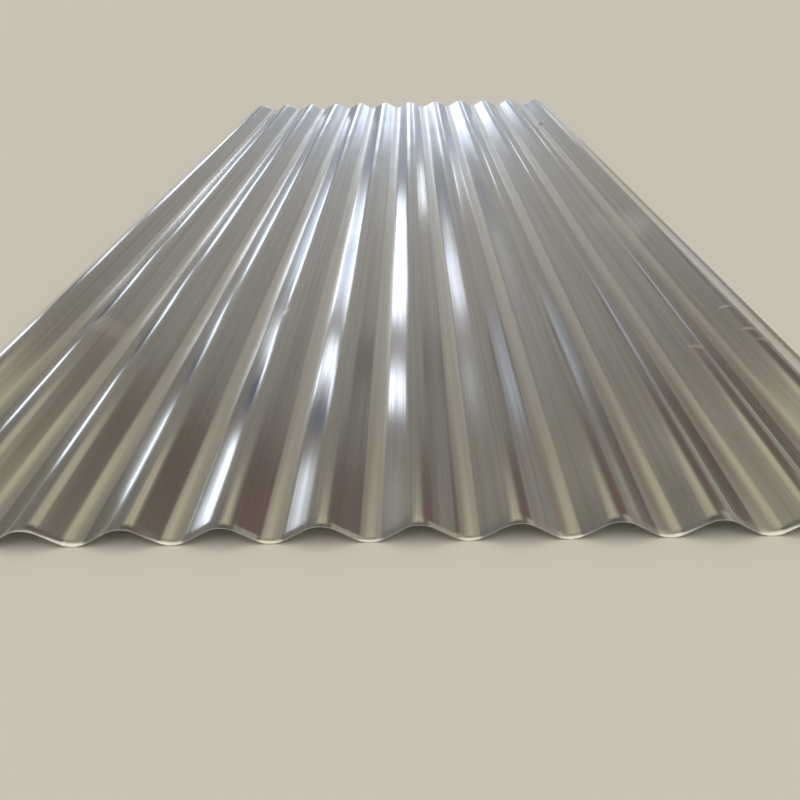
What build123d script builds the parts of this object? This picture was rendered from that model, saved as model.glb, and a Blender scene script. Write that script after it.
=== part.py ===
from build123d import *
from math import asin, atan2, cos, floor, hypot, sin, tan
import os

# One sheet of bright galvanised steel, roll-formed with even round corrugations.
# The corrugations run along Y, the sheet's width is along X and +Z is up.
# The origin is under the middle of the sheet, on the surface that it lies on.

# Driving sizes, in millimetres
sheet_length = 2440.0      # along the corrugations, a stock length of eight feet
sheet_thickness = 0.5
pitch = 76.2               # from one crest to the next
overall_height = 16.0      # from the underside of a trough to the top of a crest
flank_flat = 18.0          # the straight stretch of each flank, between two bends
crest_count = 12
left_lap = 23.7            # from the first crest line to the left side edge
right_lap = 38.1           # from the last crest line to the right side edge

# The wave, along the middle of the sheet's thickness
half_pitch = pitch / 2
wave_depth = overall_height - sheet_thickness
bend_radius = (half_pitch**2 + wave_depth**2 - flank_flat**2) / (4 * wave_depth)
bend_rise = 2 * bend_radius - wave_depth
flank_slope = asin(2 * bend_radius / hypot(half_pitch, bend_rise)) - atan2(bend_rise, half_pitch)
bend_half_width = bend_radius * sin(flank_slope)
half_thickness = sheet_thickness / 2

# The first crest line is at X = 0 while the section is drawn
left_edge = -left_lap
right_edge = (crest_count - 1) * pitch + right_lap


def bend_side(index):
    """Gives 1 for a crest and -1 for the trough after it."""
    return 1 if index % 2 == 0 else -1


def point_on_bend(index, x, offset):
    """Finds the point beside x of the middle line, on the line that lies offset above it."""
    side = bend_side(index)
    centre_x = index * half_pitch
    centre_z = side * (wave_depth / 2 - bend_radius)
    angle = asin((x - centre_x) / bend_radius)
    radius = bend_radius + side * offset
    return (centre_x + radius * sin(angle), centre_z + side * radius * cos(angle))


def point_on_flank(index, x, offset):
    """Does the same on the straight flank to the right of a bend."""
    fall = bend_side(index)
    middle_x = (index + 0.5) * half_pitch
    along_x = x + fall * offset * sin(flank_slope)
    height = offset * cos(flank_slope) - fall * (x - middle_x) * tan(flank_slope)
    return (along_x, height)


def bend_line(index, offset):
    """Draws one bend as an arc, as far as the side edges let it go."""
    centre_x = index * half_pitch
    start = max(centre_x - bend_half_width, left_edge)
    end = min(centre_x + bend_half_width, right_edge)
    if start >= end:
        return []
    middle = (start + end) / 2
    return [ThreePointArc(*(point_on_bend(index, x, offset) for x in (start, middle, end)))]


def flank_line(index, offset):
    """Draws the flank to the right of a bend, as far as the side edges let it go."""
    start = max(index * half_pitch + bend_half_width, left_edge)
    end = min((index + 1) * half_pitch - bend_half_width, right_edge)
    if start >= end:
        return []
    return [Line(*(point_on_flank(index, x, offset) for x in (start, end)))]


def sheet_surface_line(offset):
    """Draws the whole wave at one offset from the middle of the thickness."""
    lines = []
    first_bend = floor(left_edge / half_pitch) - 1
    last_bend = floor(right_edge / half_pitch) + 1
    for index in range(first_bend, last_bend + 1):
        lines += bend_line(index, offset)
        lines += flank_line(index, offset)
    return lines


def sheet_section():
    """Closes the top and underside with the two side edges, square to the sheet."""
    top = sheet_surface_line(half_thickness)
    underside = sheet_surface_line(-half_thickness)
    left_side = Line(top[0] @ 0, underside[0] @ 0)
    right_side = Line(top[-1] @ 1, underside[-1] @ 1)
    return make_face([*top, *underside, left_side, right_side])


def corrugated_sheet():
    """Carries the section along the sheet's length and sets it down on the origin."""
    sheet = extrude(Plane.XZ * sheet_section(), sheet_length)
    box = sheet.bounding_box()
    return Pos(-box.center().X, -box.center().Y, -box.min.Z) * sheet


os.makedirs("parts", exist_ok=True)
export_step(corrugated_sheet(), "parts/corrugated_sheet.step")
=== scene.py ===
import math

import bpy
import numpy as np
from mathutils import Matrix, Vector


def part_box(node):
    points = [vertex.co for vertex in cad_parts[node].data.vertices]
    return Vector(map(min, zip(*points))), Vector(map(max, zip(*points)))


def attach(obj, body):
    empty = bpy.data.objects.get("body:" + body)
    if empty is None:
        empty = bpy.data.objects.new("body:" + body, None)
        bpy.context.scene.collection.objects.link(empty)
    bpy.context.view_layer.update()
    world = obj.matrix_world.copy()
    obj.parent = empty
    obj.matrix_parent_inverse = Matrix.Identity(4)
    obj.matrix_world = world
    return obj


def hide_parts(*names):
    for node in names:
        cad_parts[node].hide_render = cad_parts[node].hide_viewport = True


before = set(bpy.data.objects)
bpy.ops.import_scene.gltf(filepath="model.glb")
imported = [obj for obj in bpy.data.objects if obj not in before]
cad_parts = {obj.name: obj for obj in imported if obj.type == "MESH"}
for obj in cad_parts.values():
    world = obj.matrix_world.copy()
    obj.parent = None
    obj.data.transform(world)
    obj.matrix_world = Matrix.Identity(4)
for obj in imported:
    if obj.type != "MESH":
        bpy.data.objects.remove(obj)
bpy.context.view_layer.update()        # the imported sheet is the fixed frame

sheetLow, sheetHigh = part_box("corrugated_sheet")
mm = 0.001

# The sheet's own sizes. Its width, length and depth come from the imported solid.
# The waves of a wander are its typical wave lengths across and along, and how many there are.
sheet = {
    "pitch": 76.2 * mm,
    "crests": 12,
    "thickness": 0.5 * mm,
    "flankFlat": 18.0 * mm,        # straight stretch of a flank, between two bends
    "rightLap": 38.1 * mm,         # last crest line to the right side edge
    "bendSteps": 10,               # facets round one bend
    "flankSteps": 2,               # facets on one flank
    "edgeGap": 0.4 * mm,           # no facet line comes nearer to a side edge
    "rows": 200,                   # facets along the top, between the ends
    "underRows": 4,                # one row of the underside for so many of the top
    "endRows": (0.8, 1.6, 2.5, 3.5, 4.6, 6.0, 8.0, 10.0, 12.0, 14.0, 18.0),    # mm from each end
    "seed": 7,
    "wanderPeak": 1.6,             # a wander's peaks, in its own spreads
    "waviness": 0.12 * mm,         # how far the rolled surface strays from true
    "wavinessWaves": (110 * mm, 450 * mm, 14),
    "sideDrift": 0.5 * mm,         # how far a crest line strays sideways
    "sideDriftWaves": (250 * mm, 1600 * mm, 9),
    "shapeDrift": 0.10 * mm,       # how far the bends' shape strays from corrugation to corrugation
    "shapeDriftWaves": (90 * mm, 900 * mm, 12),
    "troughReach": 8.5 * mm,       # stretch that the shear has bent down at each end of a trough
    "troughDrop": 0.85 * mm,
    "troughRecovery": 102 * mm,    # the bent lip holds the trough up, and it sinks back over this
    "crestReach": 13 * mm,         # the shear's bend at each end of a crest
    "crestDrop": 0.7 * mm,
}


def hexToLinear(code):
    # an sRGB hex value as the linear colour that the nodes take, with full alpha
    channels = [int(code[i:i + 2], 16) / 255 for i in (1, 3, 5)]
    linear = [c / 12.92 if c <= 0.04045 else ((c + 0.055) / 1.055) ** 2.4 for c in channels]
    return (*linear, 1.0)


def addNode(tree, kind, inputs=None, **settings):
    # inputs maps a socket's name or number to a value, or to a socket that is linked to it
    node = tree.nodes.new(kind)
    for name, value in settings.items():
        setattr(node, name, value)
    for name, value in (inputs or {}).items():
        if isinstance(value, bpy.types.NodeSocket):
            tree.links.new(value, node.inputs[name])
        else:
            node.inputs[name].default_value = value
    return node


# The wave, along the middle of the sheet's thickness
halfPitch = sheet["pitch"] / 2
waveDepth = sheetHigh.z - sheetLow.z - sheet["thickness"]
bendRadius = (halfPitch**2 + waveDepth**2 - sheet["flankFlat"] ** 2) / (4 * waveDepth)
bendRise = 2 * bendRadius - waveDepth
flankSlope = math.asin(2 * bendRadius / math.hypot(halfPitch, bendRise)) - math.atan2(bendRise, halfPitch)
bendHalfWidth = bendRadius * math.sin(flankSlope)
firstCrest = sheetHigh.x - sheet["rightLap"] - (sheet["crests"] - 1) * sheet["pitch"]


def waveStations():
    # sideways places across the sheet, close together round the bends
    stations = []
    first = math.floor((sheetLow.x - firstCrest) / halfPitch) - 1
    last = math.ceil((sheetHigh.x - firstCrest) / halfPitch) + 1
    for half in range(first, last):
        centre = firstCrest + half * halfPitch
        for step in range(sheet["bendSteps"]):
            angle = flankSlope * (2 * step / sheet["bendSteps"] - 1)
            stations.append(centre + bendRadius * math.sin(angle))
        flatStart = centre + bendHalfWidth
        flatWidth = halfPitch - 2 * bendHalfWidth
        for step in range(sheet["flankSteps"]):
            stations.append(flatStart + flatWidth * step / sheet["flankSteps"])
    # the left edge is cut square to its slope, so the middle of the edge lies a little inside the box
    leftSlope = (halfPitch - (firstCrest - sheetLow.x)) / bendRadius
    left = sheetLow.x + sheet["thickness"] / 2 * leftSlope
    right = sheetHigh.x
    inside = [x for x in stations if left + sheet["edgeGap"] < x < right - sheet["edgeGap"]]
    return np.array([left, *inside, right])


def waveAt(x):
    # height of the middle line above the sheet's own bottom, and its slope
    fromCrest = np.mod(x - firstCrest, sheet["pitch"])
    rising = fromCrest > halfPitch
    fromCrest = np.where(rising, sheet["pitch"] - fromCrest, fromCrest)
    fromTrough = halfPitch - fromCrest
    onCrest = fromCrest < bendHalfWidth
    onTrough = fromTrough < bendHalfWidth
    crestArc = np.sqrt(bendRadius**2 - np.minimum(fromCrest, bendHalfWidth) ** 2)
    troughArc = np.sqrt(bendRadius**2 - np.minimum(fromTrough, bendHalfWidth) ** 2)
    height = waveDepth / 2 - (fromCrest - halfPitch / 2) * math.tan(flankSlope)
    slope = np.full_like(fromCrest, -math.tan(flankSlope))
    height = np.where(onCrest, waveDepth - bendRadius + crestArc, height)
    slope = np.where(onCrest, -fromCrest / crestArc, slope)
    height = np.where(onTrough, bendRadius - troughArc, height)
    slope = np.where(onTrough, -fromTrough / troughArc, slope)
    return height + sheet["thickness"] / 2, np.where(rising, -slope, slope)


def rollingWander(x, y, across, along, count, seed):
    # a smooth uneven field from a few long waves, between about -1 and 1
    chance = np.random.default_rng(seed)
    total = np.zeros(np.broadcast(x, y).shape)
    for _ in range(count):
        kx = chance.normal(0, 2 * math.pi / across)
        ky = chance.normal(0, 2 * math.pi / along)
        total += np.sin(kx * x + ky * y + chance.uniform(0, 2 * math.pi))
    return total / math.sqrt(count / 2) / sheet["wanderPeak"]


def rowPlaces():
    # places along the sheet, close together at the sheared ends
    near = [sheetLow.y + d * mm for d in (0, *sheet["endRows"])]
    far = [sheetHigh.y - d * mm for d in reversed((0, *sheet["endRows"]))]
    between = np.linspace(near[-1], far[0], sheet["rows"] + 1)[1:-1]
    return np.array([*near, *between, *far])


def surfaceLift(x, y, share):
    # how far the sheet lies above the true wave, where share is 0 in a trough and 1 on a crest
    uneven = rollingWander(x, y, *sheet["wavinessWaves"], sheet["seed"] + 1)
    lift = sheet["waviness"] * (1 - 2 * share) * (1 + uneven)
    # the bends' shape changes at their sides, and the crest and trough lines keep their height
    sides = np.sin(4 * math.pi * (x - firstCrest) / sheet["pitch"])
    lift += sheet["shapeDrift"] * rollingWander(x, y, *sheet["shapeDriftWaves"], sheet["seed"] + 2) * sides
    fromEnd = np.minimum(y - sheetLow.y, sheetHigh.y - y)
    troughBent = np.maximum(1 - fromEnd / sheet["troughReach"], 0) ** 2
    crestBent = np.maximum(1 - fromEnd / sheet["crestReach"], 0) ** 2
    heldUp = np.exp(-fromEnd / sheet["troughRecovery"])
    lift += sheet["troughDrop"] * (1 - share) * (heldUp - troughBent)
    return lift - sheet["crestDrop"] * share**2 * crestBent


def buildSheet():
    x = waveStations()[None, :]
    y = rowPlaces()[:, None]
    middle, slope = waveAt(x + 0 * y)
    share = (middle - sheet["thickness"] / 2) / waveDepth
    across = np.clip((x - sheetLow.x) / (sheetHigh.x - sheetLow.x), 0, 1)
    drift = sheet["sideDrift"] * rollingWander(x, y, *sheet["sideDriftWaves"], sheet["seed"])
    drift = drift * np.sqrt(np.sin(np.pi * across))        # the side edges stay in their place
    centre = np.stack([x + drift, y + 0 * x, middle + surfaceLift(x, y, share)], -1)
    normal = np.stack([-slope, np.zeros_like(slope), np.ones_like(slope)], -1)
    normal /= np.linalg.norm(normal, axis=-1)[..., None]
    top = centre + normal * sheet["thickness"] / 2
    underside = centre - normal * sheet["thickness"] / 2
    rows, columns = middle.shape
    fine = len(sheet["endRows"]) + 1
    coarse = range(fine, rows - fine, sheet["underRows"])
    underPlaces = sorted({*range(fine), *coarse, *range(rows - fine, rows)})
    points = np.concatenate([top.reshape(-1, 3), underside[underPlaces].reshape(-1, 3)])
    points[:, 0] = np.clip(points[:, 0], sheetLow.x, sheetHigh.x)
    points[:, 2] = np.clip(points[:, 2], sheetLow.z, sheetHigh.z)
    number = np.arange(rows * columns).reshape(rows, columns)
    under = np.arange(len(underPlaces) * columns).reshape(-1, columns) + rows * columns
    faces = np.concatenate([
        np.stack([number[:-1, :-1], number[:-1, 1:], number[1:, 1:], number[1:, :-1]], -1).reshape(-1, 4),
        np.stack([under[:-1, :-1], under[1:, :-1], under[1:, 1:], under[:-1, 1:]], -1).reshape(-1, 4),
    ]).tolist()
    surfaceFaces = len(faces)
    faces += np.stack([number[0, :-1], under[0, :-1], under[0, 1:], number[0, 1:]], -1).tolist()
    faces += np.stack([number[-1, 1:], under[-1, 1:], under[-1, :-1], number[-1, :-1]], -1).tolist()
    for step in range(len(underPlaces) - 1):
        # each face of a side edge takes in all the top's rows between two of the underside's
        span = slice(underPlaces[step], underPlaces[step + 1] + 1)
        faces.append([*number[span, 0][::-1].tolist(), int(under[step, 0]), int(under[step + 1, 0])])
        faces.append([*number[span, -1].tolist(), int(under[step + 1, -1]), int(under[step, -1])])
    mesh = bpy.data.meshes.new("corrugatedSheetSkin")
    mesh.from_pydata(points.tolist(), [], faces)
    mesh.polygons.foreach_set("use_smooth", np.arange(len(faces)) < surfaceFaces)
    mesh.update()
    mesh.validate()
    return mesh


def sharpenRim(mesh):
    # the cut ends and side edges stay crisp against the smooth surfaces
    smooth = np.zeros(len(mesh.polygons), bool)
    mesh.polygons.foreach_get("use_smooth", smooth)
    rim = set()
    for face in mesh.polygons:
        if not smooth[face.index]:
            rim.update(face.edge_keys)
    flags = [edge.key in rim for edge in mesh.edges]
    attribute = mesh.attributes.new("sharp_edge", "BOOLEAN", "EDGE")
    attribute.data.foreach_set("value", flags)


# Hot-dip zinc on cold-rolled steel, skin-passed and then roll-formed: it is bright
# and nearly spangle-free, with soft mirror-like reflections drawn out along the rolling.
zinc = {
    "light": "#DEDEDD",            # the light and the dark streaks
    "lightRoughness": 0.12,
    "dark": "#C4C4C2",
    "darkRoughness": 0.18,
    "bandLight": "#F4F2ED",        # the forming rolls bear hardest in the troughs and leave them paler
    "bandDark": "#E6E4DE",
    "bandRoughness": 0.27,
    "bandEdges": (28.6 * mm, 31.0 * mm),    # from the crest line, where it starts and where it is full
    "bandWander": 3 * mm,          # how far that start wanders along the sheet
    "oneWay": 0.9,                 # the roll lines blur a reflection across the sheet, not along it
    # roll streaks are finer than this, drawn coarser so that they show
    "streaks": {"across": 1.4 * mm, "along": 420 * mm, "detail": 3.0, "breakUp": 0.6},
    # wider, softer unevenness of the coat
    "clouds": {"across": 8 * mm, "along": 1260 * mm, "detail": 2.0, "breakUp": 0.5},
    "unevenSpan": (0.35, 0.65),    # most of the mean of both lies in here
    "streakRelief": 0.006 * mm,
    "streakStrength": 0.3,
    "rubbed": "#F7F3EA",           # scuffed pale by handling
    "rubbedRoughness": 0.42,
    "paintedDentShade": "#6B6862",           # painted shade: a dark patch standing in for the dark reflection of a dent that the mesh doesn't have
    "markRaggedness": 0.8,         # how deep the clouds eat into a mark's edge
    "markFade": (0.6, -0.1),       # where a mark starts and where it is full, with that taken off
    "markHeight": 1000.0,          # in metres, so that the height of a point makes no difference
}
# Handling marks: place across and along the sheet from its middle, half length and half width,
# all in mm, turn in degrees, and how strong the mark is. A negative strength paints a dark patch
# of shade that stands in for a dent's dark reflection.
handlingMarks = [
    ((-340, -755), (44, 34), -14, 0.38),
    ((-318, -742), (16, 5), 10, 0.45),
    ((-386, 244), (22, 12), 25, 0.45),
    ((-431, 246), (7, 5), 0, 0.9),
    ((398, -318), (42, 18), -22, 0.45),
    ((372, -300), (60, 120), 0, 0.45),
    ((-80, -396), (15, 2.0), 4, 0.7),
    ((-128, -724), (5, 14), -12, 0.45),
    ((-3, -193), (32, 2.2), 2, 0.5),
    ((408, -737), (11, 5), 4, 0.9),
    ((411, -815), (10, 7), -30, 0.9),
    ((416, -850), (12, 7), -24, 0.8),
    ((338, -868), (12, 6), -20, 0.8),
    ((250, 330), (24, 2.4), 8, 0.4),
    ((-205, 610), (18, 3.0), -6, 0.4),
    ((120, -560), (12, 1.6), 14, 0.4),
    ((382, 808), (8, 28), 0, -0.8),
]


def drawnOutNoise(tree, place, grain):
    # noise drawn out along the rolling, to the real width and length of its grain
    scale = (1 / grain["across"], 1 / grain["along"], 1 / grain["across"])
    scaled = addNode(tree, "ShaderNodeMapping", {"Vector": place, "Scale": scale})
    return addNode(tree, "ShaderNodeTexNoise", {
        "Vector": scaled.outputs[0], "Scale": 1.0, "Detail": grain["detail"],
        "Roughness": grain["breakUp"]}).outputs["Fac"]


def troughBand(tree, place, clouds):
    # 1 in the troughs, where the sheet is paler. The wander's mean is half of it.
    sideways = addNode(tree, "ShaderNodeSeparateXYZ", {"Vector": place}).outputs["X"]
    fromFirst = addNode(tree, "ShaderNodeMath", {0: sideways, 1: firstCrest}, operation="SUBTRACT")
    fromCrest = addNode(tree, "ShaderNodeMath", {
        0: fromFirst.outputs[0], 1: halfPitch}, operation="PINGPONG")
    wandering = addNode(tree, "ShaderNodeMath", {
        0: clouds, 1: zinc["bandWander"], 2: fromCrest.outputs[0]}, operation="MULTIPLY_ADD")
    start, full = [edge + zinc["bandWander"] / 2 for edge in zinc["bandEdges"]]
    return addNode(tree, "ShaderNodeMapRange", {
        "Value": wandering.outputs[0], "From Min": start, "From Max": full},
        interpolation_type="SMOOTHSTEP").outputs[0]


def markMasks(tree, place, clouds):
    # where the surface is rubbed pale, and where painted shade stands in for a dent's dark reflection
    masks = {"rubbed": 0.0, "paintedDentShade": 0.0}
    start, full = zinc["markFade"]
    for (x, y), (length, width), turn, strength in handlingMarks:
        own = addNode(tree, "ShaderNodeMapping", {
            "Vector": place, "Location": (x * mm, y * mm, 0), "Rotation": (0, 0, math.radians(turn)),
            "Scale": (length * mm, width * mm, zinc["markHeight"])}, vector_type="TEXTURE")
        away = addNode(tree, "ShaderNodeVectorMath", {0: own.outputs[0]}, operation="LENGTH")
        ragged = addNode(tree, "ShaderNodeMath", {
            0: clouds, 1: -zinc["markRaggedness"], 2: away.outputs["Value"]}, operation="MULTIPLY_ADD")
        mask = addNode(tree, "ShaderNodeMapRange", {
            "Value": ragged.outputs[0], "From Min": start, "From Max": full, "To Max": abs(strength)},
            interpolation_type="SMOOTHSTEP")
        kind = "rubbed" if strength > 0 else "paintedDentShade"
        masks[kind] = addNode(tree, "ShaderNodeMath", {
            0: masks[kind], 1: mask.outputs[0]}, operation="MAXIMUM").outputs[0]
    return masks["rubbed"], masks["paintedDentShade"]


def galvanisedSteel():
    material = bpy.data.materials.new("skinPassedGalvanisedSteel")
    material.use_nodes = True
    tree = material.node_tree
    tree.nodes.clear()
    place = addNode(tree, "ShaderNodeTexCoord").outputs["Object"]
    streaks = drawnOutNoise(tree, place, zinc["streaks"])
    clouds = drawnOutNoise(tree, place, zinc["clouds"])
    halfStreaks = addNode(tree, "ShaderNodeMath", {0: streaks, 1: 0.5}, operation="MULTIPLY").outputs[0]
    uneven = addNode(tree, "ShaderNodeMath", {
        0: clouds, 1: 0.5, 2: halfStreaks}, operation="MULTIPLY_ADD").outputs[0]
    low, high = zinc["unevenSpan"]
    tone = addNode(tree, "ShaderNodeMapRange", {
        "Value": uneven, "From Min": low, "From Max": high}).outputs[0]
    roughness = addNode(tree, "ShaderNodeMapRange", {
        "Value": uneven, "From Min": low, "From Max": high,
        "To Min": zinc["darkRoughness"], "To Max": zinc["lightRoughness"]}).outputs[0]
    inBand = troughBand(tree, place, clouds)
    rubbed, paintedDentShade = markMasks(tree, place, clouds)
    colour, bandColour = [addNode(tree, "ShaderNodeMix", {
        "Factor": tone, "A": hexToLinear(zinc[dark]), "B": hexToLinear(zinc[light])},
        data_type="RGBA").outputs["Result"]
        for dark, light in (("dark", "light"), ("bandDark", "bandLight"))]
    coats = [
        (inBand, bandColour),
        (rubbed, hexToLinear(zinc["rubbed"])),
        # painted shade in place of the dark reflection of a dent
        (paintedDentShade, hexToLinear(zinc["paintedDentShade"])),
    ]
    for mask, coat in coats:
        colour = addNode(tree, "ShaderNodeMix", {
            "Factor": mask, "A": colour, "B": coat}, data_type="RGBA").outputs["Result"]
    for mask, worn in ((inBand, zinc["bandRoughness"]), (rubbed, zinc["rubbedRoughness"])):
        roughness = addNode(tree, "ShaderNodeMix", {
            "Factor": mask, "A": roughness, "B": worn}).outputs[0]
    bump = addNode(tree, "ShaderNodeBump", {
        "Height": streaks, "Strength": zinc["streakStrength"], "Distance": zinc["streakRelief"]})
    across = addNode(tree, "ShaderNodeCombineXYZ", {"X": 1.0})
    shader = addNode(tree, "ShaderNodeBsdfPrincipled", {
        "Base Color": colour, "Metallic": 1.0, "Roughness": roughness, "Anisotropic": zinc["oneWay"],
        "Tangent": across.outputs[0], "Normal": bump.outputs[0]})
    addNode(tree, "ShaderNodeOutputMaterial", {"Surface": shader.outputs[0]})
    return material


skin = buildSheet()
sharpenRim(skin)
corrugatedSheet = bpy.data.objects.new("corrugatedSheet", skin)
bpy.context.scene.collection.objects.link(corrugatedSheet)
skin.materials.append(galvanisedSteel())
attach(corrugatedSheet, "root")
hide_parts("corrugated_sheet")
print("sheet built:", len(skin.polygons), "faces")

# The studio floor is pale board under matt paint, which spreads soft light back at the sheet.
# It reaches well past the picture's edges.
floorLook = {
    "colour": "#F0EDE6",
    "roughness": 0.8,
    "size": 90.0,
    "below": 0.02 * mm,            # under the sheet's lowest point
}


def buildFloor():
    half = floorLook["size"] / 2
    mesh = bpy.data.meshes.new("floorPlane")
    corners = [(-half, -half), (half, -half), (half, half), (-half, half)]
    mesh.from_pydata([(x, y, -floorLook["below"]) for x, y in corners], [], [(0, 1, 2, 3)])
    floor = bpy.data.objects.new("floor", mesh)
    bpy.context.scene.collection.objects.link(floor)
    material = bpy.data.materials.new("mattPaintedBoard")
    material.use_nodes = True
    shader = material.node_tree.nodes["Principled BSDF"]
    shader.inputs["Base Color"].default_value = hexToLinear(floorLook["colour"])
    shader.inputs["Roughness"].default_value = floorLook["roughness"]
    mesh.materials.append(material)


buildFloor()
print("floor laid")

# A long light tent set the way of the sheet, as a studio lights bright metal. Each of its panels is
# placed by two angles: around is turned round the sheet's length, 0 overhead and -90 at the left,
# and along is raised from straight across, 0, to either end of the sheet, 90. Its edges fade over
# soft degrees to both sides. Share is how much of it shows, and bow curves its long edges down
# to the sides. A later panel lies over those before it.
tent = {
    "level": 1.27,                 # makes up for what the zinc takes from each reflection
    "brightest": 3.4,              # strength of the whole, so that no colour in it passes 1
    "backdrop": {"colour": "#B4AFA2", "strength": 1.0},    # plain, where the camera sees past the floor
    "endOfSheet": 90,              # the angle along, at either end
}
tentTones = [      # along, colour
    (0, "#A5A39D"),
    (22, "#B4B1A9"),
    (35, "#E6E1D3"),
    (41, "#ECE6D6"),
    (46, "#B4AE9F"),
    (50, "#A29C8A"),
    (55, "#A09A88"),
    (58, "#938E81"),
    (61, "#837E74"),
    (64, "#827E76"),
    (68, "#8A8780"),
    (72, "#8F8C86"),
    (76, "#95938F"),
    (79, "#9C9D9E"),
    (80.5, "#A4A7AC"),
    (81.8, "#B2B9C3"),
    (83, "#DDE3EC"),
    (90, "#F4F8FF"),
]
tentPanels = {
    "darkCard": {"around": (-40, 40), "along": (42, 50), "soft": (8, 1.2),
                 "colour": "#57544F", "strength": 1.0},
    "warmStrip": {"around": (-17, 12), "along": (49.5, 59.4), "soft": (4, 1.5), "bow": 0.008,
                  "colour": "#ABA58E", "strength": 1.1},
    "leftGrey": {"around": (-80, -22), "along": (43, 58.6), "soft": (4, 2.0),
                 "colour": "#75716A", "strength": 1.0},
    "rightGrey": {"around": (16, 58), "along": (42, 62.5), "soft": (4, 2.5),
                  "colour": "#635B55", "strength": 1.0},
    "rightWarm": {"around": (33, 64), "along": (42, 53.4), "soft": (4, 1.0),
                  "colour": "#A39D8E", "strength": 1.0},
    "rightRed": {"around": (31, 52), "along": (54, 60), "soft": (5, 1.8),
                 "colour": "#8A4A42", "strength": 0.9, "share": 0.2},
    "rightLow": {"around": (60, 130), "along": (42, 66), "soft": (6, 3),
                 "colour": "#86827A", "strength": 1.0},
    "rightWarmLow": {"around": (82, 130), "along": (42, 59.6), "soft": (3, 1.0),
                     "colour": "#B0AA9A", "strength": 1.0},
    "rightMiddle": {"around": (42, 80), "along": (62, 69), "soft": (8, 2),
                    "colour": "#76726D", "strength": 1.0, "share": 0.8},
    "rightDark": {"around": (47, 59), "along": (66.6, 68.8), "soft": (3, 0.6),
                  "colour": "#5E5B57", "strength": 1.0, "share": 0.8},
    "rightBlue": {"around": (71, 81), "along": (63.6, 69.6), "soft": (3, 1.8),
                  "colour": "#B4B9C6", "strength": 1.0, "share": 0.9},
    "leftCard": {"around": (-120, -79), "along": (65, 80.5), "soft": (3, 1.5),
                 "colour": "#9AA1AC", "strength": 1.0, "share": 0.85},
    "nearPanel": {"around": (-125, -73), "along": (55.8, 61.2), "soft": (4, 0.8),
                  "colour": "#E4EEFC", "strength": 2.3},
    "middlePanelLow": {"around": (-80, -70), "along": (66.5, 68.6), "soft": (2.5, 0.5),
                       "colour": "#EAF1FF", "strength": 2.1},
    "middlePanel": {"around": (-68, -57), "along": (64.9, 67.2), "soft": (2.5, 0.5),
                    "colour": "#EAF1FF", "strength": 2.0},
    "blueCard": {"around": (-98, -69), "along": (63.0, 65.5), "soft": (4, 0.7),
                 "colour": "#474E63", "strength": 1.0},
    "farPanelLow": {"around": (-101, -68), "along": (71.4, 76.8), "soft": (3, 0.8),
                    "colour": "#BCCCE4", "strength": 1.05},
    "farDark": {"around": (-62, -40), "along": (75, 79.3), "soft": (4, 0.8),
                "colour": "#74777E", "strength": 1.0, "share": 0.9},
    "farPanel": {"around": (-69, -57), "along": (70.4, 77.2), "soft": (2, 0.6),
                 "colour": "#EAF1FF", "strength": 2.4},
    "farPanelHigh": {"around": (-59, -50), "along": (71.2, 74.2), "soft": (2, 0.6),
                     "colour": "#EAF1FF", "strength": 1.5},
    "farLeft": {"around": (-47, -15), "along": (80.4, 95), "soft": (4, 0.8),
                "colour": "#E2ECFF", "strength": 2.0},
    "farLeftDark": {"around": (-110, -62), "along": (78.2, 95), "soft": (6, 1.0),
                    "colour": "#828894", "strength": 1.0},
    "farRight": {"around": (32, 56), "along": (80.9, 95), "soft": (5, 0.9),
                 "colour": "#DDE8FF", "strength": 1.4},
    "farRightDark": {"around": (60, 110), "along": (79.6, 95), "soft": (5, 0.8),
                     "colour": "#989EAA", "strength": 1.0},
    "rightPanel": {"around": (61.5, 67.5), "along": (76.9, 79.1), "soft": (1.5, 0.4),
                   "colour": "#F0F5FF", "strength": 2.2},
    "overheadStrip": {"around": (-11, 11), "along": (-9, 30), "soft": (9, 8),
                      "colour": "#F4F1EA", "strength": 1.08},
}


def tentColour(code, strength):
    level = tent["level"] * strength / tent["brightest"]
    red, green, blue, alpha = hexToLinear(code)
    return (level * red, level * green, level * blue, alpha)


def tentAngles(tree):
    # the two angles of each direction, in degrees
    direction = addNode(tree, "ShaderNodeTexCoord").outputs["Generated"]
    parts = addNode(tree, "ShaderNodeSeparateXYZ", {"Vector": direction}).outputs
    turned = addNode(tree, "ShaderNodeMath", {0: parts["X"], 1: parts["Z"]}, operation="ARCTAN2").outputs[0]
    length = addNode(tree, "ShaderNodeMath", {0: parts["Y"]}, operation="ABSOLUTE").outputs[0]
    raised = addNode(tree, "ShaderNodeMath", {0: length}, operation="ARCSINE").outputs[0]
    return [addNode(tree, "ShaderNodeMath", {
        0: angle, 1: math.degrees(1)}, operation="MULTIPLY").outputs[0] for angle in (turned, raised)]


def spanMask(tree, angle, span, soft):
    # 1 inside the span, fading to 0 over its soft edges
    past = [addNode(tree, "ShaderNodeMapRange", {
        "Value": angle, "From Min": edge - soft, "From Max": edge + soft},
        interpolation_type="SMOOTHSTEP").outputs[0] for edge in span]
    below = addNode(tree, "ShaderNodeMath", {0: 1.0, 1: past[1]}, operation="SUBTRACT").outputs[0]
    return addNode(tree, "ShaderNodeMath", {0: past[0], 1: below}, operation="MULTIPLY").outputs[0]


def panelMask(tree, panel, around, along):
    if "bow" in panel:
        middle = sum(panel["around"]) / 2
        aside = addNode(tree, "ShaderNodeMath", {0: around, 1: middle}, operation="SUBTRACT").outputs[0]
        squared = addNode(tree, "ShaderNodeMath", {0: aside, 1: aside}, operation="MULTIPLY").outputs[0]
        along = addNode(tree, "ShaderNodeMath", {
            0: squared, 1: panel["bow"], 2: along}, operation="MULTIPLY_ADD").outputs[0]
    turnSoft, riseSoft = panel["soft"]
    masks = [
        spanMask(tree, around, panel["around"], turnSoft),
        spanMask(tree, along, panel["along"], riseSoft),
    ]
    return addNode(tree, "ShaderNodeMath", dict(enumerate(masks)), operation="MULTIPLY").outputs[0]


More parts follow.
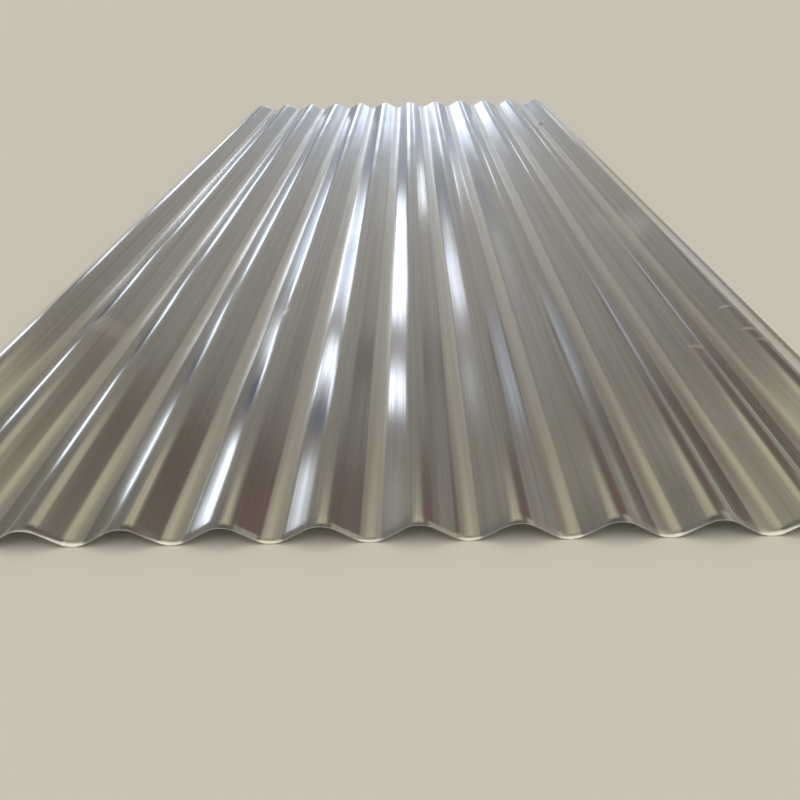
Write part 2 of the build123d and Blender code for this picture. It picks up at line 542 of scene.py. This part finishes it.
def layPanel(tree, base, mask, panel):
    shown = addNode(tree, "ShaderNodeMath", {0: mask, 1: panel.get("share", 1.0)}, operation="MULTIPLY")
    return addNode(tree, "ShaderNodeMix", {
        "Factor": shown.outputs[0], "A": base, "B": tentColour(panel["colour"], panel["strength"])},
        data_type="RGBA").outputs["Result"]


def buildTent():
    world = bpy.data.worlds.new("lightTent")
    bpy.context.scene.world = world
    world.use_nodes = True
    # the tent is even enough for the reflections to find it by themselves, which is much faster
    world.cycles.sampling_method = "NONE"
    tree = world.node_tree
    tree.nodes.clear()
    around, along = tentAngles(tree)
    reach = addNode(tree, "ShaderNodeMapRange", {"Value": along, "From Max": tent["endOfSheet"]})
    ramp = addNode(tree, "ShaderNodeValToRGB", {"Fac": reach.outputs[0]})
    points = ramp.color_ramp.elements
    while len(points) < len(tentTones):
        points.new(0.5)        # each gets its own place below
    for point, (angle, code) in zip(points, tentTones):
        point.position = angle / tent["endOfSheet"]
        point.color = tentColour(code, 1.0)
    result = ramp.outputs["Color"]
    for panel in tentPanels.values():
        result = layPanel(tree, result, panelMask(tree, panel, around, along), panel)
    seenDirectly = addNode(tree, "ShaderNodeLightPath").outputs["Is Camera Ray"]
    result = layPanel(tree, result, seenDirectly, tent["backdrop"])
    background = addNode(tree, "ShaderNodeBackground", {"Color": result, "Strength": tent["brightest"]})
    addNode(tree, "ShaderNodeOutputWorld", {"Surface": background.outputs[0]})


buildTent()
print("tent lit")

# The camera stands low at the near end, a little right of the sheet's middle
cameraPlace = {
    "at": (28.9 * mm, -1832.4 * mm, 399.2 * mm),
    "yaw": -0.986,                 # degrees to the right of the sheet's length
    "tilt": 24.576,                # degrees down
    "roll": -1.460,
    "focalPixels": 948.9,
    "pictureWidth": 800,           # pixels
    "sensorWidth": 36,             # mm
    "clip": (0.01, 200),           # metres
}


def placeCamera():
    yaw, tilt, roll = (math.radians(cameraPlace[k]) for k in ("yaw", "tilt", "roll"))
    forward = Vector((math.sin(yaw) * math.cos(tilt), math.cos(yaw) * math.cos(tilt), -math.sin(tilt)))
    level = Vector((math.cos(yaw), -math.sin(yaw), 0))
    upright = level.cross(forward)
    right = math.cos(roll) * level + math.sin(roll) * upright
    up = math.cos(roll) * upright - math.sin(roll) * level
    data = bpy.data.cameras.new("camera")
    data.sensor_width = cameraPlace["sensorWidth"]
    data.lens = data.sensor_width * cameraPlace["focalPixels"] / cameraPlace["pictureWidth"]
    data.clip_start, data.clip_end = cameraPlace["clip"]
    camera = bpy.data.objects.new("camera", data)
    turn = Matrix((right, up, -forward)).transposed().to_4x4()
    camera.matrix_world = Matrix.Translation(cameraPlace["at"]) @ turn
    bpy.context.scene.collection.objects.link(camera)
    bpy.context.scene.camera = camera


placeCamera()
bpy.context.scene.view_settings.view_transform = "Standard"
print("camera placed")
